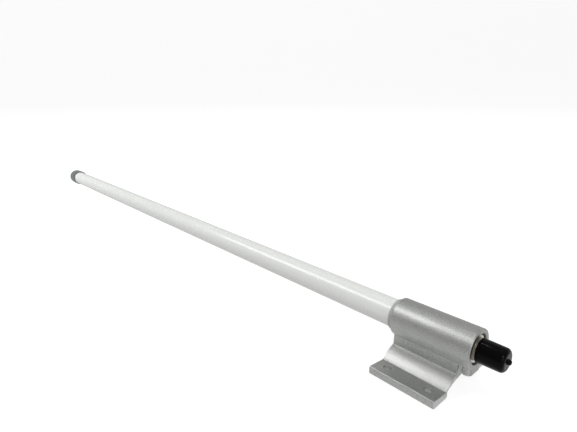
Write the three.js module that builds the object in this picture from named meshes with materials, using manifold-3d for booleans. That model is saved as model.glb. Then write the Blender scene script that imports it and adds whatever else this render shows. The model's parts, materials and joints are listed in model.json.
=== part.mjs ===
// Omnidirectional collinear antenna on an extruded mast bracket.
// Millimetres, +Z up.  The antenna lies along X with its connector toward +X and its tip toward -X,
// standing on the feet of its bracket.  Inside the model, x = 0 is the bracket's connector-end face and
// y = z = 0 is the antenna's axis; the root group then moves the origin to the middle of the base.
import * as THREE from 'three';
import { mergeVertices } from 'three/addons/utils/BufferGeometryUtils.js';
import Module from 'manifold-3d';

const wasm = await Module();
wasm.setup();

// ---- driving dimensions ------------------------------------------------------------------------
const ROUND = 48;              // facets round a large turned piece
const FINE_ROUND = 32;         // facets round a small turned piece
const COARSE_ROUND = 24;       // facets round a hole, a wire or a threaded piece
const FIT_GAP = 0.1;           // radial clearance between turned pieces
const FACE_GAP = 0.3;          // clearance between faces that rest on one another
const PAST = 1;                // how far a cutter runs past the faces that it opens

const BARREL_R = 16;           // the bracket's barrel, 32 mm outside
const BASE_LENGTH = 67;
const END_CHAMFER = 0.8;
const NECK_HALF = 9;           // the neck that joins barrel and wings
const BLOCK_BOTTOM = -20;      // underside of the neck where the wings are cut back
const NOSE_R = 4;              // plan rounding of the neck at the connector end
const WING_CUT = 10;           // length of neck left bare at the connector end
const FOOT_Z = -36;
const FOOT_INNER = 21.6;
const FOOT_OUTER = 41;
const FOOT_ROUND = 1.2;        // rounding of the feet's lower corners
const EDGE_ROUND = 0.8;
const LAND_INNER = [22.8, -30.9];
const LAND_OUTER_Z = -29.2;
const WING_TOP_ARC = { u: 2.3, z: -48.5, r: 27 };
const SADDLE_R = 50;           // hollow underside that clears the mast
const SADDLE_TOP = -25.65;
const RELIEF_R = 2.2;          // cutter mark where wing and neck part
const RELIEF_X = -8;
const RELIEF_U = 9.6;
const HOLE_R = 3.4;            // clearance for a 6 mm clamp bolt
const HOLE_U = 30.5;
const HOLE_PITCH = 36;

const CHAMBER_R = 13.2;        // bore that takes the radome and its bushing
const CHAMBER_FLOOR = -14;
const CONNECTOR_HOLE_R = 8.1;
const RECESS_R = 12.3;
const RECESS_FLOOR = -4.6;

const RADOME_R = 12;           // 24 mm fibreglass tube
const RADOME_WALL = 2.2;
const RADOME_START = -24;
const RADOME_END = -888;
const BUSHING_START = -30;
const BUSHING_LIP_R = 13.4;
const BUSHING_LIP = 4;
const BUSHING_CHAMFER = 1;

const TIP_RIM_X = -864;        // open edge of the cap that slips over the tube
const TIP_END_X = -894;
const TIP_CAP_R = 13.8;
const TIP_DOME = 7;
const TIP_RIM_ROUND = 0.4;
const TIP_PLUG_LENGTH = 26;

const THREAD_R = 7.94;         // 5/8 inch thread of a type N connector
const THREAD_ROOT_R = 7.3;
const THREAD_PITCH = 25.4 / 24;
const THREAD_START = -4.2;
const THREAD_RELIEF = 1.4;     // plain collar between the last ridge and the mouth
const CONNECTOR_END = 17;
const FERRULE_START = -24;     // solder ferrule behind the flange
const FERRULE_R = 6;
const FLANGE_START = -19;
const FLANGE_END = -16;
const FLANGE_R = 9.6;
const SOCKET_R = 4.05;
const SOCKET_DEPTH = 9;
const SOCKET_LEAD_IN = 0.5;
const DIELECTRIC_START = -22;
const DIELECTRIC_R = 3.5;
const CONTACT_START = -26;
const CONTACT_R = 1.5;
const CONTACT_BORE_R = 0.85;
const CONTACT_BORE_DEPTH = 5;
const CONTACT_INSET = 5;       // contact's tip behind the socket's mouth
const ORING_R = 8.95;          // middle of the ring's section, between flange and chamber floor
const ORING_SECTION_R = 0.85;
const WASHER_R = 11.9;
const WASHER_THICKNESS = 1;
const NUT_ACROSS = 21.5;
const NUT_THICKNESS = 3;
const NUT_CROWN = 1.25;        // how much wider than its flats the nut's trim cone grows

const CAP_MOUTH_X = 0.5;       // soft dust cap over the connector
const CAP_MOUTH_R = 9.55;
const CAP_LIP = 1.5;           // plain lip round the mouth, ahead of its groove
const CAP_GROOVE = 0.4;
const CAP_END_R = 9.2;
const CAP_END_X = 20.6;
const CAP_EDGE = 3.2;
const CAP_NUB_R = 2;           // drip left on the end of the dipped cap
const CAP_NUB = 2.2;
const CAP_NUB_TIP = 0.6;       // rounding of the drip's end
const CAP_CORNER = 0.7;        // slope inside the closed end
const CAP_GRIP = 0.15;         // clearance between the cap's bore and the thread

const COAX_START = -28;        // semi-rigid feed line
const COAX_R = 1.8;
const COAX_BORE_R = 1.25;
const CORE_R = 0.45;
const CORE_TAIL = 10;          // bare core past the end of the choke
const CHOKE_R = 6;
const CHOKE_WALL = 0.6;
const CHOKE_DISC = 2;
const CHOKE_NEAR_X = -78;
const CHOKE_FAR_X = -236;
const ROD_R = 1.5;             // radiating rods between the phasing coils
const COIL_R = 5;
const COIL_WIRE_R = 0.7;
const COIL_TURNS = 4;
const COIL_STEPS = 16;         // straight steps in one turn
const COIL_LENGTH = 26;
const COIL_LOWER_X = -422;     // middle of each coil
const COIL_UPPER_X = -640;
const FORMER_OVERHANG = 4;     // former's length past each end of its coil
const ROD_TOP_X = -852;
const SPACER_LENGTH = 14;
const SPACER_PLACES = [-60, -160, -330, -530, -740];

const BOX_MIDDLE_X = (TIP_END_X + CAP_END_X + CAP_NUB) / 2;

// ---- materials ---------------------------------------------------------------------------------
function finish(color, roughness, metalness) {
  return new THREE.MeshStandardMaterial({ color, roughness, metalness });
}

const LOOK = {
  aluminium: () => finish(0xb9bcb8, 0.5, 0.9),
  fibreglass: () => finish(0xeeeeea, 0.35, 0),
  tipPlastic: () => finish(0x80848c, 0.45, 0),
  bushing: () => finish(0xa4a6a2, 0.5, 0),
  nickel: () => finish(0xc9c2b2, 0.3, 1),
  brass: () => finish(0xb98d45, 0.4, 1),
  gold: () => finish(0xd8a93f, 0.3, 1),
  copper: () => finish(0xb5683f, 0.4, 1),
  ptfe: () => finish(0xf4f2ec, 0.5, 0),
  rubber: () => finish(0x1c1c1e, 0.6, 0),
  vinyl: () => finish(0x101113, 0.3, 0),
  foam: () => finish(0xe6e1cf, 0.95, 0),
};

// ---- geometry helpers --------------------------------------------------------------------------
// A clean closed mesh: shared vertices, no collapsed triangles, faces pointing out.
function closed(geometry) {
  geometry.deleteAttribute('normal');
  geometry.deleteAttribute('uv');
  const merged = mergeVertices(geometry, 1e-4);
  const index = Array.from(merged.index.array);
  const position = merged.attributes.position;
  const kept = [];
  let volume = 0;
  const a = new THREE.Vector3();
  const b = new THREE.Vector3();
  const c = new THREE.Vector3();
  for (let i = 0; i < index.length; i += 3) {
    const [p, q, r] = index.slice(i, i + 3);
    if (p === q || q === r || r === p) continue;
    kept.push(p, q, r);
    a.fromBufferAttribute(position, p);
    b.fromBufferAttribute(position, q);
    c.fromBufferAttribute(position, r);
    volume += a.dot(b.cross(c));
  }
  if (volume < 0) {
    for (let i = 0; i < kept.length; i += 3) {
      [kept[i], kept[i + 1]] = [kept[i + 1], kept[i]];
    }
  }
  merged.setIndex(kept);
  return merged;
}

function toManifold(geometry) {
  const clean = closed(geometry);
  return new wasm.Manifold(new wasm.Mesh({
    numProp: 3,
    vertProperties: new Float32Array(clean.attributes.position.array),
    triVerts: new Uint32Array(clean.index.array),
  }));
}

function fromManifold(solid) {
  const mesh = solid.getMesh();
  const geometry = new THREE.BufferGeometry();
  geometry.setAttribute('position', new THREE.BufferAttribute(mesh.vertProperties, 3));
  geometry.setIndex(new THREE.BufferAttribute(mesh.triVerts, 1));
  return geometry;
}

function cut(body, ...cutters) {
  return cutters.reduce((rest, cutter) => rest.subtract(toManifold(cutter)), body);
}

// A solid of revolution about X from a closed or axis-to-axis profile of [x, radius] points.
function turned(profile, facets = ROUND) {
  const points = profile.map(([x, r]) => new THREE.Vector2(r, x));
  return closed(new THREE.LatheGeometry(points, facets).rotateZ(-Math.PI / 2));
}

function tube(x0, x1, inner, outer, facets = ROUND) {
  return turned([[x0, inner], [x1, inner], [x1, outer], [x0, outer], [x0, inner]], facets);
}

function rod(x0, x1, radius, facets = FINE_ROUND) {
  return turned([[x0, 0], [x0, radius], [x1, radius], [x1, 0]], facets);
}

function box(x0, x1, y0, y1, z0, z1) {
  const geometry = new THREE.BoxGeometry(x1 - x0, y1 - y0, z1 - z0);
  return geometry.translate((x0 + x1) / 2, (y0 + y1) / 2, (z0 + z1) / 2);
}

function upright(x, y, z0, z1, radius, facets = FINE_ROUND) {
  const geometry = new THREE.CylinderGeometry(radius, radius, z1 - z0, facets);
  return geometry.rotateX(Math.PI / 2).translate(x, y, (z0 + z1) / 2);
}

// Points along an arc, both ends included; angles in degrees.
function arc(cx, cy, radius, from, to, steps) {
  return Array.from({ length: steps + 1 }, (_, i) => {
    const angle = THREE.MathUtils.degToRad(from + ((to - from) * i) / steps);
    return [cx + radius * Math.cos(angle), cy + radius * Math.sin(angle)];
  });
}

// Replaces each corner that has a radius by a short arc tangent to its two sides.
function filleted(corners, steps = 3) {
  const out = [];
  corners.forEach(([u, z, radius = 0], i) => {
    if (!radius) {
      out.push([u, z]);
      return;
    }
    const here = new THREE.Vector2(u, z);
    const before = new THREE.Vector2(...corners[i - 1]).sub(here).normalize();
    const after = new THREE.Vector2(...corners[i + 1]).sub(here).normalize();
    const half = Math.acos(before.dot(after)) / 2;
    const centre = before.clone().add(after).normalize().multiplyScalar(radius / Math.sin(half));
    const start = before.clone().multiplyScalar(radius / Math.tan(half)).sub(centre);
    const end = after.clone().multiplyScalar(radius / Math.tan(half)).sub(centre);
    const sweep = Math.atan2(start.cross(end), start.dot(end));
    for (let k = 0; k <= steps; k += 1) {
      const turn = start.clone().rotateAround(new THREE.Vector2(), (sweep * k) / steps);
      out.push([u + centre.x + turn.x, z + centre.y + turn.y]);
    }
  });
  return out;
}

// Extrudes a [y, z] outline along X from x0 to x1.
function extrudedAlongX(outline, x0, x1) {
  const shape = new THREE.Shape(outline.map(([y, z]) => new THREE.Vector2(y, z)));
  const geometry = new THREE.ExtrudeGeometry(shape, { depth: x1 - x0, bevelEnabled: false });
  const axes = new THREE.Matrix4().makeBasis(
    new THREE.Vector3(0, 1, 0),
    new THREE.Vector3(0, 0, 1),
    new THREE.Vector3(1, 0, 0),
  );
  return geometry.applyMatrix4(axes).translate(x0, 0, 0);
}

const group = new THREE.Group();
const model = new THREE.Group();
model.position.set(-BOX_MIDDLE_X, 0, -FOOT_Z);
group.add(model);

function place(name, geometry, look) {
  const mesh = new THREE.Mesh(geometry, LOOK[look]());
  mesh.name = name;
  model.add(mesh);
}

// ---- bracket -----------------------------------------------------------------------------------
// One side of the extrusion's outline, from the top of the barrel to the middle of the saddle.
function bracketSide() {
  const crease = -THREE.MathUtils.radToDeg(Math.acos(NECK_HALF / BARREL_R));
  const barrel = arc(0, 0, BARREL_R, 90, crease, 18);
  const { u, z, r } = WING_TOP_ARC;
  const wingStart = THREE.MathUtils.radToDeg(Math.acos((NECK_HALF - u) / r));
  const wingEnd = THREE.MathUtils.radToDeg(Math.atan2(LAND_INNER[1] - z, LAND_INNER[0] - u));
  const wing = arc(u, z, r, wingStart, wingEnd, 8);
  const saddleCentre = SADDLE_TOP - SADDLE_R;
  const saddleEdge = THREE.MathUtils.radToDeg(Math.acos(FOOT_INNER / SADDLE_R));
  const saddle = arc(0, saddleCentre, SADDLE_R, saddleEdge, 90, 8);
  saddle[0].push(FOOT_ROUND);
  return filleted([
    ...barrel,
    ...wing,
    [FOOT_OUTER, LAND_OUTER_Z, EDGE_ROUND],
    [FOOT_OUTER, FOOT_Z, FOOT_ROUND],
    [FOOT_INNER, FOOT_Z, EDGE_ROUND],
    ...saddle,
  ]);
}

function bracketOutline() {
  const side = bracketSide();
  const mirrored = side.slice(1, -1).map(([y, z]) => [-y, z]).reverse();
  return [...side, ...mirrored];
}

// Cuts the square edge off a barrel end, leaving the neck below it alone.
function endChamfer(x, inward) {
  const ring = turned([
    [x - inward * END_CHAMFER, BARREL_R],
    [x + inward * END_CHAMFER, BARREL_R - 2 * END_CHAMFER],
    [x + inward * END_CHAMFER, BARREL_R + PAST],
    [x - inward * END_CHAMFER, BARREL_R + PAST],
    [x - inward * END_CHAMFER, BARREL_R],
  ]);
  const reach = Math.abs(x) + BASE_LENGTH;
  const below = toManifold(box(-reach, reach, -NECK_HALF, NECK_HALF, -2 * BARREL_R, 0));
  return toManifold(ring).subtract(below);
}

// An upright corner of the neck's end, which leaves a rounded nose when it is cut away.
function noseCorner(side) {
  const centre = [-NOSE_R, NECK_HALF - NOSE_R];
  const round = arc(...centre, NOSE_R, 0, 90, 8);
  const outside = [
    [centre[0], NECK_HALF + PAST],
    [PAST, NECK_HALF + PAST],
    [PAST, centre[1]],
  ];
  const outline = [...round, ...outside].map(([x, y]) => new THREE.Vector2(x, side * y));
  const depth = 2 * BARREL_R;
  const geometry = new THREE.ExtrudeGeometry(new THREE.Shape(outline), { depth, bevelEnabled: false });
  const barrel = rod(-BASE_LENGTH, 2 * PAST, BARREL_R + FIT_GAP / 2, ROUND);
  return cut(toManifold(geometry.translate(0, 0, -depth)), barrel);
}

function bracket() {
  const middleHole = -(BASE_LENGTH + WING_CUT) / 2;
  const cutters = [
    rod(-BASE_LENGTH - PAST, CHAMBER_FLOOR, CHAMBER_R, ROUND),
    rod(CHAMBER_FLOOR - PAST, RECESS_FLOOR + PAST, CONNECTOR_HOLE_R, ROUND),
    rod(RECESS_FLOOR, PAST, RECESS_R, ROUND),
    box(-WING_CUT, PAST, -2 * FOOT_OUTER, 2 * FOOT_OUTER, 2 * FOOT_Z, BLOCK_BOTTOM),
  ];
  for (const side of [-1, 1]) {
    const reliefTop = RELIEF_R - BARREL_R;
    cutters.push(upright(RELIEF_X, side * RELIEF_U, 2 * FOOT_Z, reliefTop, RELIEF_R, COARSE_ROUND));
    for (const end of [-1, 1]) {
      const x = middleHole + (end * HOLE_PITCH) / 2;
      cutters.push(upright(x, side * HOLE_U, 2 * FOOT_Z, BLOCK_BOTTOM, HOLE_R, COARSE_ROUND));
    }
  }
  let body = toManifold(extrudedAlongX(bracketOutline(), -BASE_LENGTH, 0));
  body = cut(body, ...cutters);
  body = body.subtract(endChamfer(0, 1)).subtract(endChamfer(-BASE_LENGTH, -1));
  body = body.subtract(noseCorner(1)).subtract(noseCorner(-1));
  place('base_extrusion', fromManifold(body), 'aluminium');
}

// ---- radome ------------------------------------------------------------------------------------
function radome() {
  const bore = RADOME_R - RADOME_WALL;
  place('radome_tube', tube(RADOME_END, RADOME_START, bore, RADOME_R), 'fibreglass');

  const sleeveInner = RADOME_R + FIT_GAP;
  const sleeveOuter = CHAMBER_R - FIT_GAP;
  const lipNear = -BASE_LENGTH - FIT_GAP;
  const lipFar = lipNear - BUSHING_LIP;
  place('radome_bushing', turned([
    [BUSHING_START, sleeveInner],
    [BUSHING_START, sleeveOuter],
    [lipNear, sleeveOuter],
    [lipNear, BUSHING_LIP_R],
    [lipFar + BUSHING_CHAMFER, BUSHING_LIP_R],
    [lipFar, BUSHING_LIP_R - BUSHING_CHAMFER],
    [lipFar, sleeveInner],
    [BUSHING_START, sleeveInner],
  ]), 'bushing');
}

function tipCap() {
  const bore = RADOME_R + FIT_GAP;
  const dome = arc(TIP_END_X + TIP_DOME, TIP_CAP_R - TIP_DOME, TIP_DOME, 90, 180, 6);
  place('tip_cap', turned([
    [RADOME_END - FACE_GAP, 0],
    [RADOME_END - FACE_GAP, bore],
    [TIP_RIM_X, bore],
    [TIP_RIM_X, TIP_CAP_R - TIP_RIM_ROUND],
    [TIP_RIM_X - TIP_RIM_ROUND, TIP_CAP_R],
    ...dome,
    [TIP_END_X, 0],
  ]), 'tipPlastic');
  const plug = RADOME_R - RADOME_WALL - FIT_GAP;
  const plugFar = RADOME_END + FACE_GAP;
  place('tip_foam_plug', rod(plugFar, plugFar + TIP_PLUG_LENGTH, plug), 'foam');
}

// ---- connector ---------------------------------------------------------------------------------
// Ridges of the thread from x0 toward x1, as [x, radius] points.
function threadRidges(x0, x1) {
  const count = Math.floor((x1 - x0) / THREAD_PITCH);
  const out = [];
  for (let i = 0; i < count; i += 1) {
    const x = x0 + i * THREAD_PITCH;
    out.push([x, THREAD_ROOT_R]);
    out.push([x + THREAD_PITCH / 2, THREAD_R]);
  }
  return out;
}

function connector() {
  const socketFloor = CONNECTOR_END - SOCKET_DEPTH;
  place('connector_body', turned([
    [FERRULE_START, DIELECTRIC_R],
    [FERRULE_START, FERRULE_R],
    [FLANGE_START, FERRULE_R],
    [FLANGE_START, FLANGE_R],
    [FLANGE_END, FLANGE_R],
    [FLANGE_END, THREAD_R],
    [THREAD_START - THREAD_PITCH / 2, THREAD_R],
    ...threadRidges(THREAD_START, CONNECTOR_END - THREAD_RELIEF),
    [CONNECTOR_END - THREAD_RELIEF, THREAD_ROOT_R],
    [CONNECTOR_END - FACE_GAP, THREAD_ROOT_R],
    [CONNECTOR_END, THREAD_ROOT_R - FACE_GAP],
    [CONNECTOR_END, SOCKET_R + SOCKET_LEAD_IN],
    [CONNECTOR_END - SOCKET_LEAD_IN, SOCKET_R],
    [socketFloor, SOCKET_R],
    [socketFloor, DIELECTRIC_R],
    [FERRULE_START, DIELECTRIC_R],
  ], COARSE_ROUND), 'nickel');

  const insulatorOuter = DIELECTRIC_R - FIT_GAP;
  const insulatorInner = CONTACT_R + FIT_GAP;
  const insulatorEnd = socketFloor - FACE_GAP;
  const insulator = tube(DIELECTRIC_START, insulatorEnd, insulatorInner, insulatorOuter, FINE_ROUND);
  place('connector_insulator', insulator, 'ptfe');

  const contactTip = CONNECTOR_END - CONTACT_INSET;
  place('connector_contact', turned([
    [CONTACT_START, 0],
    [CONTACT_START, CONTACT_R],
    [contactTip - SOCKET_LEAD_IN, CONTACT_R],
    [contactTip, CONTACT_R - FACE_GAP],
    [contactTip, CONTACT_BORE_R],
    [contactTip - CONTACT_BORE_DEPTH, CONTACT_BORE_R],
    [contactTip - CONTACT_BORE_DEPTH, 0],
  ], FINE_ROUND), 'gold');

  const ringMiddle = (FLANGE_END + CHAMBER_FLOOR) / 2;
  place('connector_oring', turned([
    ...arc(ringMiddle, ORING_R, ORING_SECTION_R, 0, 330, 11),
    [ringMiddle + ORING_SECTION_R, ORING_R],
  ], FINE_ROUND), 'rubber');

  const washerStart = RECESS_FLOOR + FIT_GAP;
  const washerEnd = washerStart + WASHER_THICKNESS;
  place('connector_washer', tube(washerStart, washerEnd, CONNECTOR_HOLE_R, WASHER_R), 'nickel');
  connectorNut(washerEnd + FIT_GAP);
}

// A hexagon whose corners are turned down to a cone at both faces.
function connectorNut(x0) {
  const x1 = x0 + NUT_THICKNESS;
  const flat = NUT_ACROSS / 2;
  const hexagon = arc(0, 0, NUT_ACROSS / Math.sqrt(3), 0, 300, 5);
  const bore = rod(x0 - PAST, x1 + PAST, CONNECTOR_HOLE_R, ROUND);
  const body = cut(toManifold(extrudedAlongX(hexagon, x0, x1)), bore);
  const trim = toManifold(turned([
    [x0 - FIT_GAP, 0],
    [x0 - FIT_GAP, flat],
    [x0 + PAST, flat + NUT_CROWN],
    [x1 - PAST, flat + NUT_CROWN],
    [x1 + FIT_GAP, flat],
    [x1 + FIT_GAP, 0],
  ]));
  place('connector_nut', fromManifold(body.intersect(trim)), 'nickel');
}

function dustCap() {
  const bore = THREAD_R + CAP_GRIP;
  const inside = CONNECTOR_END + FACE_GAP;
  const edge = arc(CAP_END_X - CAP_EDGE, CAP_END_R - CAP_EDGE, CAP_EDGE, 90, 0, 5);
  const lipEnd = CAP_MOUTH_X + CAP_LIP;
  place('dust_cap', turned([
    [inside, 0],
    [inside, bore - CAP_CORNER],
    [inside - CAP_CORNER, bore],
    [CAP_MOUTH_X, bore],
    [CAP_MOUTH_X, CAP_MOUTH_R - CAP_GRIP],
    [CAP_MOUTH_X + CAP_GRIP, CAP_MOUTH_R],
    [lipEnd - CAP_GRIP, CAP_MOUTH_R],
    [lipEnd, CAP_MOUTH_R - CAP_GROOVE],
    [lipEnd + CAP_GRIP, CAP_MOUTH_R - CAP_GROOVE],
    [lipEnd + 2 * CAP_GRIP, CAP_MOUTH_R - CAP_GRIP],
    ...edge,
    [CAP_END_X, CAP_NUB_R],
    [CAP_END_X + CAP_NUB - CAP_NUB_TIP, CAP_NUB_R - CAP_NUB_TIP / 2],
    [CAP_END_X + CAP_NUB, CAP_NUB_R - 2 * CAP_NUB_TIP],
    [CAP_END_X + CAP_NUB, 0],
  ]), 'vinyl');
}

// ---- radiating parts inside the radome ---------------------------------------------------------
function feedLine() {
  const jacket = tube(CHOKE_FAR_X, COAX_START, COAX_BORE_R, COAX_R, FINE_ROUND);
  place('feed_outer_conductor', jacket, 'copper');
  const dielectric = [CORE_R + FIT_GAP, COAX_BORE_R - FIT_GAP, COARSE_ROUND];
  place('feed_dielectric', tube(CHOKE_FAR_X, COAX_START, ...dielectric), 'ptfe');
  const coreEnd = CHOKE_FAR_X - CORE_TAIL;
  place('feed_core', rod(coreEnd, CONTACT_START - FACE_GAP, CORE_R, COARSE_ROUND), 'copper');

  const chokeInner = CHOKE_R - CHOKE_WALL;
  place('choke_sleeve', tube(CHOKE_FAR_X, CHOKE_NEAR_X, chokeInner, CHOKE_R, FINE_ROUND), 'brass');
  const disc = [COAX_R + FIT_GAP, chokeInner - FIT_GAP, FINE_ROUND];
  place('choke_end_disc', tube(CHOKE_FAR_X, CHOKE_FAR_X + CHOKE_DISC, ...disc), 'brass');
}

class Helix extends THREE.Curve {
  constructor(x0, length, radius, turns) {
    super();
    Object.assign(this, { x0, length, radius, turns });
  }

  getPoint(t, target = new THREE.Vector3()) {
    const angle = 2 * Math.PI * this.turns * t;
    const y = this.radius * Math.cos(angle);
    return target.set(this.x0 + this.length * t, y, this.radius * Math.sin(angle));
  }
}

function phasingCoil(name, middle) {
  const section = arc(0, 0, COIL_WIRE_R, 0, 300, 5);
  const wire = new THREE.Shape(section.map(([x, y]) => new THREE.Vector2(x, y)));
  const path = new Helix(middle - COIL_LENGTH / 2, COIL_LENGTH, COIL_R, COIL_TURNS);
  const options = { steps: COIL_TURNS * COIL_STEPS, extrudePath: path };
  place(`${name}_coil`, closed(new THREE.ExtrudeGeometry(wire, options)), 'copper');
  const former = COIL_R - COIL_WIRE_R - 2 * FIT_GAP;
  const reach = COIL_LENGTH / 2 + FORMER_OVERHANG;
  place(`${name}_coil_former`, rod(middle - reach, middle + reach, former), 'ptfe');
}

function radiators() {
  const reach = COIL_LENGTH / 2 + FORMER_OVERHANG + FACE_GAP;
  const stretches = [
    ['lower_radiator', CHOKE_FAR_X - CORE_TAIL - FACE_GAP, COIL_LOWER_X + reach],
    ['middle_radiator', COIL_LOWER_X - reach, COIL_UPPER_X + reach],
    ['upper_radiator', COIL_UPPER_X - reach, ROD_TOP_X],
  ];
  for (const [name, near, far] of stretches) {
    place(name, rod(far, near, ROD_R, COARSE_ROUND), 'brass');
  }
  phasingCoil('lower', COIL_LOWER_X);
  phasingCoil('upper', COIL_UPPER_X);
}

// Foam collars that hold the inner parts on the axis; each bore suits what passes through it.
function spacers() {
  const outer = RADOME_R - RADOME_WALL - FIT_GAP;
  SPACER_PLACES.forEach((x, i) => {
    let inner = ROD_R;
    if (x > CHOKE_FAR_X) inner = CHOKE_R;
    if (x > CHOKE_NEAR_X) inner = COAX_R;
    const half = SPACER_LENGTH / 2;
    place(`foam_spacer_${i + 1}`, tube(x - half, x + half, inner + FIT_GAP, outer), 'foam');
  });
}

bracket();
radome();
tipCap();
connector();
dustCap();
feedLine();
radiators();
spacers();

export default group;
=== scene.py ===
"""Looks of the omnidirectional antenna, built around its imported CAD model.

Mesh code works in millimetres in the bracket's own frame: x = 0 is the bracket's connector-end face, and
y = z = 0 is the antenna's axis.  in_row_frame() then takes each mesh to the row frame, in metres.
"""
import json
import math

import bmesh
import bpy
from mathutils import Euler, Matrix, Vector

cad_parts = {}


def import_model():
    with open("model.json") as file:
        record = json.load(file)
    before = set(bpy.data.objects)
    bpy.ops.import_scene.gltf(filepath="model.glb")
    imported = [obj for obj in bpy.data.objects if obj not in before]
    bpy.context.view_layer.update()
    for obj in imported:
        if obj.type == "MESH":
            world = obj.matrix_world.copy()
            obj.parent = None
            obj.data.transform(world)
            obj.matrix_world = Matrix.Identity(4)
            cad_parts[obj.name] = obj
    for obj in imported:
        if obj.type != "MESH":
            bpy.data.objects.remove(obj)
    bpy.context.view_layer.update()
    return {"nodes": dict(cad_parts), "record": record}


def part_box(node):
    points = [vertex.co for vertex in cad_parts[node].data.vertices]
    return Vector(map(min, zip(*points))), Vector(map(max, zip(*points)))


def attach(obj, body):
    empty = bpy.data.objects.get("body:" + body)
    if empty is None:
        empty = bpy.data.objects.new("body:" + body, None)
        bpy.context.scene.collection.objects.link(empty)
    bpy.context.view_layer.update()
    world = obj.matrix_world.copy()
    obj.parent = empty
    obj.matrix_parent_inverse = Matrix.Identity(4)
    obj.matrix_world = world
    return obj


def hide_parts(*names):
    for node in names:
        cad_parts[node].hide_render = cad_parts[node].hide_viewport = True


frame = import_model()

MM = 0.001


# ---- sizes from the CAD model's boxes, in millimetres --------------------------------------------
def mm_box(node):
    """A node's box in the bracket's frame, as ((x0, x1), (y0, y1), (z0, z1))."""
    low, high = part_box(node)
    return [((a - o) / MM, (b - o) / MM) for a, b, o in zip(low, high, ORIGIN)]


tube_low, tube_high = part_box("radome_tube")
ORIGIN = Vector((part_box("base_extrusion")[1].x, 0, (tube_low.z + tube_high.z) / 2))

BRACKET = mm_box("base_extrusion")
BARREL_START = BRACKET[0][0]
BARREL_R = BRACKET[2][1]
FLOOR_Z = BRACKET[2][0]
FOOT_OUTER = BRACKET[1][1]
TUBE_START, TUBE_END = mm_box("radome_tube")[0]
TUBE_R = mm_box("radome_tube")[2][1]
TIP_START, TIP_END = mm_box("tip_cap")[0]
TIP_R = mm_box("tip_cap")[2][1]
LIP_START, SLEEVE_END = mm_box("radome_bushing")[0]
LIP_R = mm_box("radome_bushing")[2][1]
SOCKET_START, SOCKET_END = mm_box("connector_body")[0]
FLANGE_R = mm_box("connector_body")[2][1]
CAP_MOUTH, CAP_TOP = mm_box("dust_cap")[0]
CAP_R = mm_box("dust_cap")[2][1]
NUT_START, NUT_END = mm_box("connector_nut")[0]
WASHER_START, WASHER_END = mm_box("connector_washer")[0]
WASHER_R = mm_box("connector_washer")[2][1]
INSULATOR = mm_box("connector_insulator")[0]
CONTACT = mm_box("connector_contact")[0]


# ---- sizes the boxes don't give, in millimetres --------------------------------------------------
# Most repeat the CAD model's. BARREL_EDGE, BLOCK_INSET, DIELECTRIC_R and NUT_TRIM_R are set here.
CHAMBER_R = 13.2              # bore for the tube and its bushing
CHAMBER_FLOOR = -14.0
CONNECTOR_HOLE_R = 8.1
RECESS_R = 12.3
RECESS_FLOOR = -4.6
BARREL_EDGE = 0.9             # rounding of the barrel's outer rims
NECK_HALF = 9.0
BLOCK_BOTTOM = -20.0          # underside of the bare neck at the connector end
NOSE_R = 4.0                  # plan rounding of the neck at the connector end
BLOCK_INSET = 0.6             # the neck's end faces stand back from the barrel's
WING_CUT = 10.0               # the wings start this far behind the connector end
WING_MIDDLE = (BARREL_START - WING_CUT) / 2
ROOT_R = (BARREL_R + CHAMBER_R) / 2     # the wings and neck start inside the barrel's wall
FOOT_INNER = 21.6
LAND_INNER = (22.8, -30.9)
LAND_OUTER_Z = -29.2
WING_ARC = (2.3, -48.5, 27.0)
SADDLE_R = 50.0
SADDLE_TOP = -25.65
RELIEF = (-8.0, 9.6, 2.2)     # x, y and radius of the cutter mark beside each wing
HOLE_R = 3.4
HOLE_Y = 30.5
HOLE_PITCH = 36.0

THREAD_R = 7.94
THREAD_ROOT_R = 7.3
THREAD_PITCH = 25.4 / 24
THREAD_START = -4.2
SOCKET_R = 4.05
SOCKET_DEPTH = 9.0
DIELECTRIC_R = 3.4            # 3.5 in the CAD model
CONTACT_R = 1.5
CONTACT_BORE_R = 0.85
NUT_ACROSS = 21.5
NUT_TRIM_R = 12.0             # the nut's corners are turned down to this

SMOOTH_ANGLE = math.radians(38)
ROUND = 192                   # facets round a large turned piece
PAST = 1.0                    # how far a cutter runs past the faces that it opens
FIT_GAP = 0.1                 # clearance between the tube, its bushing and tip cap, and the bracket


# ---- outlines ------------------------------------------------------------------------------------
def arc(cx, cy, radius, start, end, steps):
    """Points along an arc, both ends included; angles in degrees."""
    angles = [math.radians(start + (end - start) * i / steps) for i in range(steps + 1)]
    return [(cx + radius * math.cos(a), cy + radius * math.sin(a)) for a in angles]


def rounded(corners, steps=5, closed=False):
    """Replaces each corner (a, b, radius) by an arc tangent to both sides; (a, b) stays sharp."""
    out = []
    count = len(corners)
    for i, corner in enumerate(corners):
        here = Vector(corner[:2])
        at_end = not closed and i in (0, count - 1)
        if len(corner) < 3 or at_end:
            out.append(tuple(here))
            continue
        back = Vector(corners[i - 1][:2]) - here
        ahead = Vector(corners[(i + 1) % count][:2]) - here
        half = back.angle(ahead) / 2
        room = 0.49 * min(back.length, ahead.length)    # the next corner needs the other half
        reach = min(corner[2] / math.tan(half), room)
        radius = reach * math.tan(half)
        inward = (back.normalized() + ahead.normalized()).normalized()
        centre = here + inward * radius / math.sin(half)
        first = here + back.normalized() * reach - centre
        last = here + ahead.normalized() * reach - centre
        sweep = first.angle_signed(last)
        for k in range(steps + 1):
            turn = -sweep * k / steps
            x = first.x * math.cos(turn) - first.y * math.sin(turn)
            y = first.x * math.sin(turn) + first.y * math.cos(turn)
            out.append((centre.x + x, centre.y + y))
    return out


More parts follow.
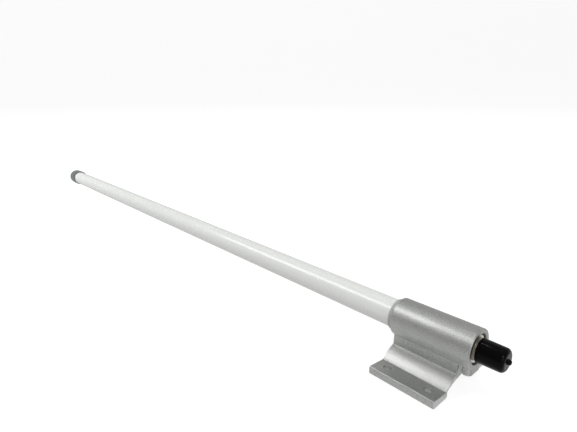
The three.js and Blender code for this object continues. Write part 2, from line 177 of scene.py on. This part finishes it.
# ---- meshes --------------------------------------------------------------------------------------
def in_row_frame(bm, name):
    """Turns a bmesh in millimetres into an object in the row frame, in metres."""
    bmesh.ops.recalc_face_normals(bm, faces=bm.faces)
    bm.transform(Matrix.Translation(ORIGIN) @ Matrix.Scale(MM, 4))
    mesh = bpy.data.meshes.new(name)
    bm.to_mesh(mesh)
    bm.free()
    piece = bpy.data.objects.new(name, mesh)
    bpy.context.scene.collection.objects.link(piece)
    return piece


def turned(profile, facets=ROUND, radius_at=None):
    """A solid of revolution about X.

    The profile is a list of (x, radius).  It starts and ends on the axis, or closes on itself.
    radius_at(x, radius, angle) may change the radius round the piece, as a screw thread does.
    """
    bm = bmesh.new()
    rings = []
    for x, radius in profile:
        if radius < 1e-6:
            rings.append([bm.verts.new((x, 0, 0))])
            continue
        ring = []
        for i in range(facets):
            angle = 2 * math.pi * i / facets
            r = radius_at(x, radius, angle) if radius_at else radius
            ring.append(bm.verts.new((x, r * math.cos(angle), r * math.sin(angle))))
        rings.append(ring)
    on_axis = len(rings[0]) == 1
    pairs = zip(rings, rings[1:]) if on_axis else zip(rings, rings[1:] + rings[:1])
    for a, b in pairs:
        for i in range(facets):
            j = (i + 1) % facets
            if len(a) == 1 and len(b) == 1:
                break
            if len(a) == 1:
                bm.faces.new((a[0], b[i], b[j]))
            elif len(b) == 1:
                bm.faces.new((a[i], b[0], a[j]))
            else:
                bm.faces.new((a[i], b[i], b[j], a[j]))
    return bm


def extruded(outline, x0, x1, edge=0.0):
    """A (y, z) outline drawn along X, with its end rims rounded by edge."""
    bm = bmesh.new()
    near = [bm.verts.new((x1, y, z)) for y, z in outline]
    far = [bm.verts.new((x0, y, z)) for y, z in outline]
    caps = [bm.faces.new(near), bm.faces.new(list(reversed(far)))]
    count = len(outline)
    for i in range(count):
        j = (i + 1) % count
        bm.faces.new((near[i], far[i], far[j], near[j]))
    if edge:
        rims = {e for cap in caps for e in cap.edges}
        bmesh.ops.bevel(bm, geom=list(rims), offset=edge, segments=2, profile=0.5, affect="EDGES")
    return bm


def upright(x, y, z0, z1, radius, top_radius=None, tilt=0.0, facets=64):
    """A round bar or cone along Z, leaned about X by tilt radians through its lower end."""
    bm = bmesh.new()
    top_radius = radius if top_radius is None else top_radius
    length = z1 - z0
    bmesh.ops.create_cone(bm, cap_ends=True, segments=facets, radius1=radius, radius2=top_radius,
                          depth=length)
    bm.transform(Matrix.Translation((0, 0, length / 2)))
    bm.transform(Matrix.Translation((x, y, z0)) @ Matrix.Rotation(tilt, 4, "X"))
    return bm


def block(x0, x1, y0, y1, z0, z1):
    """A box from its three ranges."""
    bm = bmesh.new()
    bmesh.ops.create_cube(bm, size=1)
    bm.transform(Matrix.Translation(((x0 + x1) / 2, (y0 + y1) / 2, (z0 + z1) / 2))
                 @ Matrix.Diagonal((x1 - x0, y1 - y0, z1 - z0, 1)))
    return bm


def combined(body, steps):
    """Joins to or cuts from a bmesh the bmeshes in steps, a list of (operation, bmesh)."""
    def as_object(bm):
        bmesh.ops.recalc_face_normals(bm, faces=bm.faces)
        mesh = bpy.data.meshes.new("scratch")
        bm.to_mesh(mesh)
        bm.free()
        scratch = bpy.data.objects.new("scratch", mesh)
        bpy.context.scene.collection.objects.link(scratch)
        return scratch

    target = as_object(body)
    scratch = [target]
    for operation, other in steps:
        modifier = target.modifiers.new(operation, "BOOLEAN")
        modifier.operation = operation
        modifier.solver = "EXACT"
        modifier.object = as_object(other)
        scratch.append(modifier.object)
    evaluated = target.evaluated_get(bpy.context.evaluated_depsgraph_get())
    mesh = bpy.data.meshes.new_from_object(evaluated)
    result = bmesh.new()
    result.from_mesh(mesh)
    bpy.data.meshes.remove(mesh)
    for used in scratch:
        bpy.data.meshes.remove(used.data)
    bmesh.ops.remove_doubles(result, verts=result.verts, dist=1e-4)
    return result


def finished(piece, body, slot, *nodes):
    """Smooths and paints a piece, and ties it to its body and to the CAD nodes that it stands for."""
    piece.data.shade_smooth()
    piece.data.set_sharp_from_angle(angle=SMOOTH_ANGLE)
    weighted = piece.modifiers.new("weighted_normals", "WEIGHTED_NORMAL")
    weighted.keep_sharp = True
    weighted.weight = 80
    piece.data.materials.append(MATERIALS[slot])
    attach(piece, body)
    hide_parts(*nodes)


# ---- materials -----------------------------------------------------------------------------------
class Paint:
    """A node material round one Principled shader, with object coordinates in metres."""

    def __init__(self, name, **settings):
        self.material = bpy.data.materials.new(name)
        self.material.use_nodes = True
        self.tree = self.material.node_tree
        self.shader = self.tree.nodes["Principled BSDF"]
        for socket, value in settings.items():
            self.shader.inputs[socket.replace("_", " ")].default_value = value
        self.where = self.tree.nodes.new("ShaderNodeTexCoord").outputs["Object"]

    def node(self, kind, sockets, **settings):
        """A node; each socket gets a value or is linked from an output."""
        node = self.tree.nodes.new(kind)
        for key, value in settings.items():
            setattr(node, key, value)
        for key, value in sockets.items():
            if isinstance(value, bpy.types.NodeSocket):
                self.tree.links.new(value, node.inputs[key])
            else:
                node.inputs[key].default_value = value
        return node

    def stretched(self, x, y, z):
        """Coordinates scaled along each axis."""
        sockets = {"Vector": self.where, "Scale": (x, y, z)}
        return self.node("ShaderNodeMapping", sockets).outputs["Vector"]

    def noise(self, scale, detail=3.0, where=None, roughness=0.55):
        sockets = {"Vector": where or self.where, "Scale": scale, "Detail": detail,
                   "Roughness": roughness}
        return self.node("ShaderNodeTexNoise", sockets).outputs["Fac"]

    def cells(self, scale):
        sockets = {"Vector": self.where, "Scale": scale}
        return self.node("ShaderNodeTexVoronoi", sockets).outputs["Distance"]

    def map(self, value, low, high, start=0.0, end=1.0):
        """Takes value from start..end to low..high."""
        sockets = {0: value, 1: start, 2: end, 3: low, 4: high}
        return self.node("ShaderNodeMapRange", sockets).outputs[0]

    def maths(self, operation, a, b):
        return self.node("ShaderNodeMath", {0: a, 1: b}, operation=operation).outputs[0]

    def mix(self, factor, a, b):
        """A blend of two colours, from a at factor 0 to b at factor 1."""
        sockets = {"Factor": factor, 6: a, 7: b}
        return self.node("ShaderNodeMix", sockets, data_type="RGBA").outputs[2]

    def pointiness(self):
        return self.node("ShaderNodeNewGeometry", {}).outputs["Pointiness"]

    def attribute(self, name):
        return self.node("ShaderNodeAttribute", {}, attribute_name=name).outputs["Fac"]

    def bumps(self, *layers):
        """Bump from (height, strength, distance in metres) layers."""
        normal = None
        for height, strength, distance in layers:
            sockets = {"Height": height, "Strength": strength, "Distance": distance}
            if normal:
                sockets["Normal"] = normal
            normal = self.node("ShaderNodeBump", sockets).outputs["Normal"]
        self.tree.links.new(normal, self.shader.inputs["Normal"])

    def set(self, socket, value):
        self.tree.links.new(value, self.shader.inputs[socket])


def grey(value, tint=(1, 1, 1)):
    """A linear grey, tinted a little."""
    return (value * tint[0], value * tint[1], value * tint[2], 1)


def blasted_aluminium():
    """Bead-blasted clear anodised extrusion; the attribute "milled" marks its machined faces."""
    paint = Paint("blasted_aluminium", Metallic=1.0)
    milled = paint.attribute("milled")
    blasted = paint.maths("SUBTRACT", 1.0, milled)
    grain = paint.noise(1500, detail=2)
    pits = paint.cells(1900)
    clouds = paint.noise(45, detail=4)
    die_lines = paint.noise(1, detail=2, where=paint.stretched(6, 1500, 1500))
    cutter = paint.noise(1, detail=1, where=paint.stretched(2600, 140, 140))
    film = (0.985, 1.0, 0.965)      # the anodic film's tint
    speckle = paint.map(grain, -0.9, 0.9, 0.25, 0.75)
    tone = paint.maths("ADD", speckle, paint.map(clouds, 0.44, 0.56))
    colour = paint.mix(tone, grey(0.52, film), grey(0.72, (0.985, 1.0, 0.97)))
    # Painted highlight: the base colour turns lighter on convex edges, standing in for the light that a
    # rounded edge catches from overhead.
    edge = paint.map(paint.pointiness(), 0, 0.5, 0.52, 0.6)
    colour = paint.mix(paint.map(milled, 0, 0.75), colour, grey(0.36, film))
    paint.set("Base Color", paint.mix(edge, colour, grey(0.82)))
    base = paint.map(milled, 0.45, 0.38)
    rough = paint.maths("ADD", base, paint.map(clouds, -0.05, 0.05))
    paint.set("Roughness", paint.maths("ADD", rough, paint.map(pits, 0.04, -0.03)))
    paint.bumps(
        (paint.maths("MULTIPLY", pits, blasted), 0.35, 0.00008),
        (paint.maths("MULTIPLY", grain, blasted), 0.6, 0.0001),
        (die_lines, 0.12, 0.00003),
        (paint.maths("MULTIPLY", cutter, milled), 0.2, 0.00003),
    )
    return paint.material


def white_fibreglass():
    """Gloss white coat over a pultruded tube, whose fibres run along it."""
    paint = Paint("white_fibreglass", Coat_Weight=0.35, Coat_Roughness=0.08, IOR=1.5)
    fibres = paint.noise(1, detail=4, where=paint.stretched(14, 900, 900))
    ripple = paint.noise(1, detail=2, where=paint.stretched(9, 160, 160))
    dust = paint.noise(260, detail=4)
    dark, light = grey(0.86, (0.985, 1, 0.965)), grey(0.88, (0.985, 1, 0.97))
    colour = paint.mix(paint.map(fibres, 0.3, 0.7), dark, light)
    film = paint.map(dust, 0, 0.1, 0.5, 0.8)
    paint.set("Base Color", paint.mix(film, colour, grey(0.86, (1, 0.99, 0.96))))
    paint.set("Roughness", paint.map(dust, 0.25, 0.29))
    paint.bumps((ripple, 0.06, 0.00008), (fibres, 0.1, 0.00002))
    return paint.material


def moulded(name, dark, light, roughness, **settings):
    """Moulded plastic: faint mottling, a soft sheen and fine grain."""
    paint = Paint(name, **settings)
    mottle = paint.noise(120, detail=4)
    fine = paint.noise(900)
    paint.set("Base Color", paint.mix(paint.map(mottle, 0.2, 0.8), dark, light))
    paint.set("Roughness", paint.map(mottle, roughness - 0.05, roughness + 0.06))
    paint.bumps((mottle, 0.08, 0.0001), (fine, 0.25, 0.00003))
    return paint.material


def plated(name, dark, light, roughness):
    """Turned metal: fine tool rings round X, tarnish in patches and brighter edges."""
    paint = Paint(name, Metallic=1.0)
    tarnish = paint.noise(160, detail=5)
    rings = paint.noise(1, detail=2, where=paint.stretched(5200, 40, 40))
    edge = paint.map(paint.pointiness(), 0, 0.6, 0.52, 0.62)
    colour = paint.mix(paint.map(tarnish, 0.1, 0.9), dark, light)
    paint.set("Base Color", paint.mix(edge, colour, tuple(min(1, 1.15 * c) for c in light)))
    paint.set("Roughness", paint.map(tarnish, roughness - 0.06, roughness + 0.1))
    paint.bumps((rings, 0.1, 0.00002), (tarnish, 0.05, 0.00003))
    return paint.material


def black_vinyl():
    """Dip-moulded vinyl: a wavy soft gloss with a little dust on it."""
    paint = Paint("black_vinyl", IOR=1.36, Specular_IOR_Level=0.2)
    waves = paint.noise(150, detail=2)
    skin = paint.noise(1400)
    dust = paint.map(paint.noise(520, detail=7, roughness=0.7), 0, 0.5, 0.62, 0.85)
    paint.set("Base Color", paint.mix(dust, grey(0.001, (0.9, 1, 1)), grey(0.006, (0.95, 1, 1))))
    paint.set("Roughness", paint.maths("ADD", paint.map(waves, 0.1, 0.16), paint.map(dust, 0, 0.2)))
    paint.bumps((waves, 0.08, 0.0003), (skin, 0.12, 0.00003))
    return paint.material


def foam():
    """Closed-cell foam: small open bubbles on its cut faces."""
    paint = Paint("spacer_foam", Roughness=0.95)
    bubbles = paint.cells(900)
    dark, light = grey(0.62, (1, 0.96, 0.86)), grey(0.82, (1, 0.97, 0.9))
    paint.set("Base Color", paint.mix(paint.map(bubbles, 1, 0), dark, light))
    paint.set("Roughness", paint.map(bubbles, 0.98, 0.85))
    paint.bumps((bubbles, 0.7, 0.0003))
    return paint.material


SLATE = (0.95, 1, 1.08)       # the slate plastic's tint
MATERIALS = {
    "blasted_aluminium": blasted_aluminium(),
    "white_fibreglass": white_fibreglass(),
    "grey_polymer": moulded("grey_polymer", grey(0.42, (1, 1, 0.98)), grey(0.5, (1, 1, 0.97)), 0.4),
    "slate_plastic": moulded("slate_plastic", grey(0.13, SLATE), grey(0.19, SLATE), 0.32),
    "nickel_plate": plated("nickel_plate", grey(0.66, (1, 0.94, 0.84)), grey(0.85, (1, 0.95, 0.87)),
                           0.36),
    "gold_plate": plated("gold_plate", (0.7, 0.47, 0.16, 1), (0.9, 0.66, 0.28, 1), 0.2),
    "ptfe": moulded("ptfe", grey(0.82, (1, 1, 0.97)), grey(0.88, (1, 1, 0.98)), 0.45,
                    Subsurface_Weight=0.1),
    "black_rubber": moulded("black_rubber", grey(0.02), grey(0.035), 0.6),
    "black_vinyl": black_vinyl(),
    "copper": plated("copper", (0.45, 0.2, 0.12, 1), (0.74, 0.38, 0.24, 1), 0.3),
    "brass": plated("brass", (0.42, 0.3, 0.13, 1), (0.7, 0.53, 0.26, 1), 0.3),
    "spacer_foam": foam(),
}


# ---- bracket -------------------------------------------------------------------------------------
def wing_outline():
    """Neck, wings and feet, from inside the barrel's wall down to the saddle, both sides."""
    u, z, radius = WING_ARC
    start = math.degrees(math.acos((NECK_HALF - u) / radius))
    end = math.degrees(math.atan2(LAND_INNER[1] - z, LAND_INNER[0] - u))
    wing = arc(u, z, radius, start, end, 24)
    saddle_edge = math.degrees(math.acos(FOOT_INNER / SADDLE_R))
    saddle = arc(0, SADDLE_TOP - SADDLE_R, SADDLE_R, saddle_edge, 90, 32)
    neck_edge = -math.degrees(math.acos(NECK_HALF / ROOT_R))
    side = rounded([
        *arc(0, 0, ROOT_R, -90, neck_edge, 12),
        (*wing[0], 0.5),
        *wing[1:-1],
        (*wing[-1], 0.6),
        (FOOT_OUTER, LAND_OUTER_Z, 0.7),
        (FOOT_OUTER, FLOOR_Z, 1.3),
        (FOOT_INNER, FLOOR_Z, 0.8),
        (*saddle[0], 1.2),
        *saddle[1:],
    ])
    mirrored = [(-y, z) for y, z in reversed(side[1:-1])]
    return side + mirrored


def neck():
    """The neck below the barrel, drawn upward from its underside, with a rounded nose."""
    back, nose = BARREL_START + BLOCK_INSET, -BLOCK_INSET
    back_edge = 0.4
    plan = rounded([
        (back, -NECK_HALF, back_edge),
        (nose, -NECK_HALF, NOSE_R),
        (nose, NECK_HALF, NOSE_R),
        (back, NECK_HALF, back_edge),
    ], steps=12, closed=True)
    bm = extruded(plan, BLOCK_BOTTOM, BLOCK_BOTTOM / 2, edge=0.6)
    lay_flat = Matrix(((0, 1, 0), (0, 0, 1), (1, 0, 0)))    # x, y and z become z, x and y
    bm.transform(lay_flat.to_4x4())
    far, near = BARREL_START - PAST, PAST
    inside = turned([(far, 0), (far, ROOT_R), (near, ROOT_R), (near, 0)])
    return combined(bm, [("DIFFERENCE", inside)])


def barrel():
    """The round housing, with its chamber behind and its recess for the nut in front."""
    return turned(rounded([
        (BARREL_START, CHAMBER_R, 0.3),
        (BARREL_START, BARREL_R, BARREL_EDGE),
        (0, BARREL_R, BARREL_EDGE),
        (0, RECESS_R, 0.5),
        (RECESS_FLOOR, RECESS_R, 0.3),
        (RECESS_FLOOR, CONNECTOR_HOLE_R, 0.2),
        (CHAMBER_FLOOR, CONNECTOR_HOLE_R),
        (CHAMBER_FLOOR, CHAMBER_R),
    ], closed=True))


def clamp_holes():
    """Cutters for the four bolt holes, each with a small countersink square to its sloping land."""
    slope = math.atan2(LAND_OUTER_Z - LAND_INNER[1], FOOT_OUTER - LAND_INNER[0])
    land_z = LAND_INNER[1] + (HOLE_Y - LAND_INNER[0]) * math.tan(slope)
    sink = 0.15
    cutters = []
    for side in (-1, 1):
        for end in (-1, 1):
            x, y = WING_MIDDLE + end * HOLE_PITCH / 2, side * HOLE_Y
            cutters.append(upright(x, y, FLOOR_Z - PAST, BLOCK_BOTTOM, HOLE_R))
            cutters.append(upright(x, y, land_z - sink, land_z + 3 * sink, HOLE_R, HOLE_R + 4 * sink,
                                   tilt=side * slope))
    return cutters


def bracket():
    """The extrusion: barrel, neck and wings joined, then drilled."""
    wings = extruded(wing_outline(), BARREL_START + BLOCK_INSET, -WING_CUT, edge=0.3)
    x, y, radius = RELIEF
    reliefs = [upright(x, side * y, FLOOR_Z, radius - BARREL_R, radius, facets=48)
               for side in (-1, 1)]
    steps = [("UNION", neck()), ("UNION", wings)]
    steps += [("DIFFERENCE", cutter) for cutter in reliefs + clamp_holes()]
    piece = in_row_frame(combined(barrel(), steps), "bracket")
    mark_milled(piece)
    finished(piece, "antenna", "blasted_aluminium", "base_extrusion")


def mark_milled(piece):
    """Marks the faces cut after blasting: ends, chamber and holes fully, and the lands in part."""
    land_share = 0.2
    milled = piece.data.attributes.new("milled", "FLOAT", "FACE")
    values = []
    for face in piece.data.polygons:
        x, y, z = (face.center - ORIGIN) / MM
        on_end = abs(face.normal.x) > 0.8
        in_chamber = math.hypot(y, z) < CHAMBER_R + 0.2 and x < RECESS_FLOOR - 0.5
        from_hole = math.hypot(abs(x - WING_MIDDLE) - HOLE_PITCH / 2, abs(y) - HOLE_Y)
        in_hole = from_hole < HOLE_R + 0.1 and abs(face.normal.z) < 0.5
        faces_up = face.normal.z > 0.95
        on_land = faces_up and abs(y) > LAND_INNER[0] + 0.5 and z > LAND_INNER[1] - 0.2
        values.append(1.0 if on_end or in_chamber or in_hole else land_share * on_land)
    milled.data.foreach_set("value", values)


# ---- radome --------------------------------------------------------------------------------------
def radome():
    """The long tube, and the bushing that seats it in the bracket."""
    wall = 2.2
    tube = turned(rounded([
        (TUBE_START, TUBE_R - wall, 0.2),
        (TUBE_START, TUBE_R, 0.2),
        (TUBE_END, TUBE_R, 0.2),
        (TUBE_END, TUBE_R - wall, 0.2),
    ], closed=True))
    finished(in_row_frame(tube, "radome"), "antenna", "white_fibreglass", "radome_tube")

    inner, outer = TUBE_R + FIT_GAP, CHAMBER_R - FIT_GAP
    shoulder = BARREL_START - FIT_GAP
    bushing = turned(rounded([
        (SLEEVE_END, inner),
        (SLEEVE_END, outer, 0.3),
        (shoulder, outer),
        (shoulder, LIP_R),
        (LIP_START, LIP_R, 0.9),
        (LIP_START, inner, 0.3),
    ], closed=True))
    finished(in_row_frame(bushing, "bushing"), "antenna", "grey_polymer", "radome_bushing")


def tip():
    """The cap over the tube's far end, with a domed top and a slightly narrower mouth."""
    bore = TUBE_R + FIT_GAP
    floor_x = TUBE_START - 3 * FIT_GAP
    skirt, skirt_draft = 4, 0.25
    dome, dome_draft = 7.5, 0.4
    cap = turned(rounded([
        (floor_x, 0),
        (floor_x, bore, 0.4),
        (TIP_END, bore, 0.3),
        (TIP_END, TIP_R - skirt_draft, 0.5),
        (TIP_END - skirt, TIP_R, 2),
        (TIP_START, TIP_R - dome_draft, dome),
        (TIP_START, 0),
    ], steps=14))
    finished(in_row_frame(cap, "tip_cover"), "antenna", "slate_plastic", "tip_cap")


# ---- connector -----------------------------------------------------------------------------------
def thread_radius(x, radius, angle):
    """A right-hand screw thread where the profile is at the thread's crest, fading in at its start."""
    if abs(radius - THREAD_R) > 1e-6 or x < THREAD_START:
        return radius
    turn = (x / THREAD_PITCH - angle / (2 * math.pi)) % 1
    crest, flank = 0.06, 0.38       # half the crest, and one flank, as shares of the pitch
    below_crest = min(1, max(0, (abs(turn - 0.5) - crest) / flank))
    fade_in = min(1, (x - THREAD_START) / THREAD_PITCH)
    return radius - (THREAD_R - THREAD_ROOT_R) * below_crest * fade_in


def socket():
    """The connector's threaded body, and the insulating bead that holds its contact."""
    mouth = 1.4                     # plain length in front of the thread
    tail_r = 6
    flange_back, flange_front = -19, -16
    plain_r = THREAD_R - 0.001      # just off the crest, so that it gets no thread
    bead_bore = DIELECTRIC_R + 0.1
    floor = SOCKET_END - SOCKET_DEPTH
    steps = int((SOCKET_END - mouth - THREAD_START) / THREAD_PITCH * 10)
    crest = [(THREAD_START + i * THREAD_PITCH / 10, THREAD_R) for i in range(steps + 1)]
    body = turned(rounded([
        (SOCKET_START, bead_bore),
        (SOCKET_START, tail_r, 0.4),
        (flange_back, tail_r),
        (flange_back, FLANGE_R, 0.3),
        (flange_front, FLANGE_R, 0.3),
        (flange_front, plain_r),
        (THREAD_START - 0.2, plain_r),
        *crest,
        (SOCKET_END - mouth, THREAD_ROOT_R),
        (SOCKET_END, THREAD_ROOT_R, 0.4),
        (SOCKET_END, SOCKET_R, 0.6),
        (floor, SOCKET_R, 0.2),
        (floor, bead_bore),
    ], closed=True), facets=96, radius_at=thread_radius)
    finished(in_row_frame(body, "socket_body"), "antenna", "nickel_plate", "connector_body")

    contact_bore = CONTACT_R + 0.1
    bead = turned(rounded([
        (INSULATOR[0], contact_bore),
        (INSULATOR[0], DIELECTRIC_R, 0.2),
        (INSULATOR[1], DIELECTRIC_R, 0.2),
        (INSULATOR[1], contact_bore, 0.2),
    ], closed=True), facets=96)
    finished(in_row_frame(bead, "socket_bead"), "antenna", "ptfe", "connector_insulator")


def contact():
    """The female contact: a rod with a bore, split into four spring fingers."""
    back, front = CONTACT
    finger = 4.5
    taper, closed_in = 1.2, 0.25
    bore_floor = front - 5
    rod = turned(rounded([
        (back, 0),
        (back, CONTACT_R, 0.2),
        (front - taper, CONTACT_R, 0.6),
        (front, CONTACT_R - closed_in, 0.3),
        (front, CONTACT_BORE_R, 0.15),
        (bore_floor, CONTACT_BORE_R),
        (bore_floor, 0),
    ]), facets=64)
    slit = 0.14
    reach = CONTACT_R + PAST
    cutters = [
        block(front - finger, front + PAST, -slit, slit, -reach, reach),
        block(front - finger, front + PAST, -reach, reach, -slit, slit),
    ]
    rod = combined(rod, [("DIFFERENCE", cutter) for cutter in cutters])
    finished(in_row_frame(rod, "contact"), "antenna", "gold_plate", "connector_contact")


def nut():
    """A hexagon nut turned down at its corners, and the washer behind it."""
    flat = NUT_ACROSS / 2
    corner = NUT_ACROSS / math.sqrt(3)
    hexagon = extruded(arc(0, 0, corner, 0, 300, 5), NUT_START, NUT_END)
    set_back = 0.8                  # from the CAD nut's front to this one's
    front_cone, back_cone = 1.2, 0.8
    back = NUT_START - 0.1
    face = NUT_END - set_back
    trim = turned([
        (back, 0),
        (back, flat),
        (NUT_START + back_cone, NUT_TRIM_R),
        (face - front_cone, NUT_TRIM_R),
        (face, flat - 0.2),
        (face, 0),
    ])
    bore = turned([
        (NUT_START - PAST, 0),
        (NUT_START - PAST, CONNECTOR_HOLE_R + PAST),
        (NUT_START + 0.6, CONNECTOR_HOLE_R),
        (face - 0.4, CONNECTOR_HOLE_R),
        (face + PAST, CONNECTOR_HOLE_R + 1.4 * PAST),
        (face + PAST, 0),
    ])
    body = combined(hexagon, [("INTERSECT", trim), ("DIFFERENCE", bore)])
    finished(in_row_frame(body, "nut"), "antenna", "nickel_plate", "connector_nut")

    washer = turned(rounded([
        (WASHER_START, CONNECTOR_HOLE_R, 0.15),
        (WASHER_START, WASHER_R, 0.25),
        (WASHER_END, WASHER_R, 0.25),
        (WASHER_END, CONNECTOR_HOLE_R, 0.15),
    ], closed=True))
    finished(in_row_frame(washer, "washer"), "antenna", "nickel_plate", "connector_washer")


def dust_cap():
    """The soft cap: a rolled lip at its mouth, a slight taper and a moulding nub on its closed end."""
    bore = THREAD_R + 0.15
    inside = SOCKET_END + 0.3
    groove = CAP_MOUTH + 1.45
    groove_r = CAP_R - 0.45
    nub_r, nub_height = 2.0, 2.2
    end = CAP_TOP - nub_height
    end_edge = 3.4
    cap = turned(rounded([
        (inside, 0),
        (inside, bore, 1.0),
        (CAP_MOUTH, bore, 0.2),
        (CAP_MOUTH, CAP_R, 0.45),
        (groove, CAP_R, 0.3),
        (groove + 0.1, groove_r, 0.1),
        (groove + 0.35, groove_r, 0.1),
        (groove + 0.5, CAP_R - 0.1, 0.3),
        (end, CAP_R - 0.35, end_edge),
        (end, nub_r + 0.3, 0.8),
        (CAP_TOP, nub_r - 0.4, 0.9),
        (CAP_TOP, 0),
    ], steps=10))
    finished(in_row_frame(cap, "dust_cover"), "dust_cap", "black_vinyl", "dust_cap")


# ---- CAD nodes that stay -------------------------------------------------------------------------
def paint_cad_nodes():
    """Gives each node that stays its own slot's material."""
    slots = {row["node"]: row["material_slot"] for row in frame["record"]["subparts"]}
    for name, node in frame["nodes"].items():
        node.data.materials.clear()
        node.data.materials.append(MATERIALS[slots[name]])


# ---- studio --------------------------------------------------------------------------------------
def studio_floor():
    """A pale floor that sweeps up into a wall all round."""
    flat, sweep, wall = 6.0, 3.0, 3.0       # radius of the level part, the sweep's, and wall height
    profile = [(2.0, 0), (flat, 0)]
    profile += [(flat + x, sweep + z) for x, z in arc(0, 0, sweep, -90, 0, 24)[1:]]
    profile.append((flat + sweep, sweep + wall))
    segments = 96
    angles = [2 * math.pi * i / segments for i in range(segments)]
    bm = bmesh.new()
    rings = [[bm.verts.new((0, 0, 0))]]
    for radius, z in profile:
        rings.append([bm.verts.new((radius * math.cos(a), radius * math.sin(a), z)) for a in angles])
    for a, b in zip(rings, rings[1:]):
        for i in range(segments):
            j = (i + 1) % segments
            bm.faces.new((a[0], b[i], b[j]) if len(a) == 1 else (a[i], b[i], b[j], a[j]))
    mesh = bpy.data.meshes.new("studio_floor")
    bm.to_mesh(mesh)
    bm.free()
    floor = bpy.data.objects.new("studio_floor", mesh)
    bpy.context.scene.collection.objects.link(floor)
    mesh.shade_smooth()
    paint = Paint("studio_floor", Roughness=0.9, Specular_IOR_Level=0.0, Emission_Strength=0.8,
                  Emission_Color=grey(1))
    paint.set("Base Color", paint.mix(paint.noise(3), grey(0.34), grey(0.36)))
    mesh.materials.append(paint.material)
    floor.visible_glossy = False
    floor.visible_diffuse = False
    floor.visible_shadow = False


def area_light(name, place, target, size, power, in_gloss=True):
    """A rectangular light; place, target and size are in metres, and power is in watts."""
    light = bpy.data.lights.new(name, "AREA")
    light.shape = "RECTANGLE"
    light.size, light.size_y = size
    light.energy = power
    lamp = bpy.data.objects.new(name, light)
    lamp.location = place
    lamp.rotation_euler = (Vector(target) - Vector(place)).to_track_quat("-Z", "Y").to_euler()
    lamp.visible_glossy = in_gloss
    bpy.context.scene.collection.objects.link(lamp)


def lights():
    """Softboxes that draw the highlights, and two fills that no glossy surface shows."""
    area_light("overhead_box", (-0.92, -0.69, 1.24), (-0.92, 0, 0), (1.5, 0.46), 10.6)
    area_light("top_box", (0.06, 0.08, 1.22), ORIGIN, (0.05, 0.05), 0.3)
    area_light("right_box", (1.5, -0.75, 1.35), ORIGIN, (0.22, 0.22), 3.2)
    area_light("end_panel", (1.5, -0.7, 0.65), ORIGIN, (1.1, 1.0), 2.4)
    area_light("far_fill", (-0.8, -0.6, 0.2), (-0.42, 0, 0.036), (0.3, 0.3), 1.8, in_gloss=False)
    area_light("ceiling", (-0.5, 0.5, 5), (-0.5, 0.5, 0), (8, 8), 120, in_gloss=False)


def world():
    """A grey room for the reflections: lighter below the horizon and behind the antenna."""
    room = bpy.data.worlds.new("room")
    room.use_nodes = True
    tree = room.node_tree

    def mapped(source, start, end, low, high, interpolation):
        """Takes source from start..end to low..high."""
        node = tree.nodes.new("ShaderNodeMapRange")
        node.interpolation_type = interpolation
        sockets = {"From Min": start, "From Max": end, "To Min": low, "To Max": high}
        for socket, value in sockets.items():
            node.inputs[socket].default_value = value
        tree.links.new(source, node.inputs["Value"])
        return node.outputs[0]

    where = tree.nodes.new("ShaderNodeTexCoord").outputs["Generated"]
    direction = tree.nodes.new("ShaderNodeSeparateXYZ")
    tree.links.new(where, direction.inputs[0])
    by_height = mapped(direction.outputs["Z"], -0.25, 0.15, 0.6, 0.31, "SMOOTHSTEP")
    by_depth = mapped(direction.outputs["Y"], -0.8, 0.8, -0.06, 0.13, "LINEAR")
    total = tree.nodes.new("ShaderNodeMath")
    tree.links.new(by_height, total.inputs[0])
    tree.links.new(by_depth, total.inputs[1])
    tree.links.new(total.outputs[0], tree.nodes["Background"].inputs["Color"])
    bpy.context.scene.world = room


def camera():
    """Stands at the connector end, a little above the antenna, looking along it toward its tip."""
    azimuth, elevation = math.radians(47.61), math.radians(16.28)
    from_bracket = Vector((0.1122, -0.2913, 0.1833))    # metres, from its connector-end face
    data = bpy.data.cameras.new("camera")
    data.lens = 27.26
    data.sensor_width = 36
    data.clip_start = 0.01
    eye = bpy.data.objects.new("camera", data)
    eye.location = ORIGIN + from_bracket
    eye.rotation_euler = Euler((math.pi / 2 - elevation, 0, azimuth))
    bpy.context.scene.collection.objects.link(eye)
    bpy.context.scene.camera = eye


bracket()
radome()
tip()
socket()
contact()
nut()
dust_cap()
paint_cad_nodes()
studio_floor()
lights()
world()
camera()
bpy.context.scene.view_settings.view_transform = "Standard"
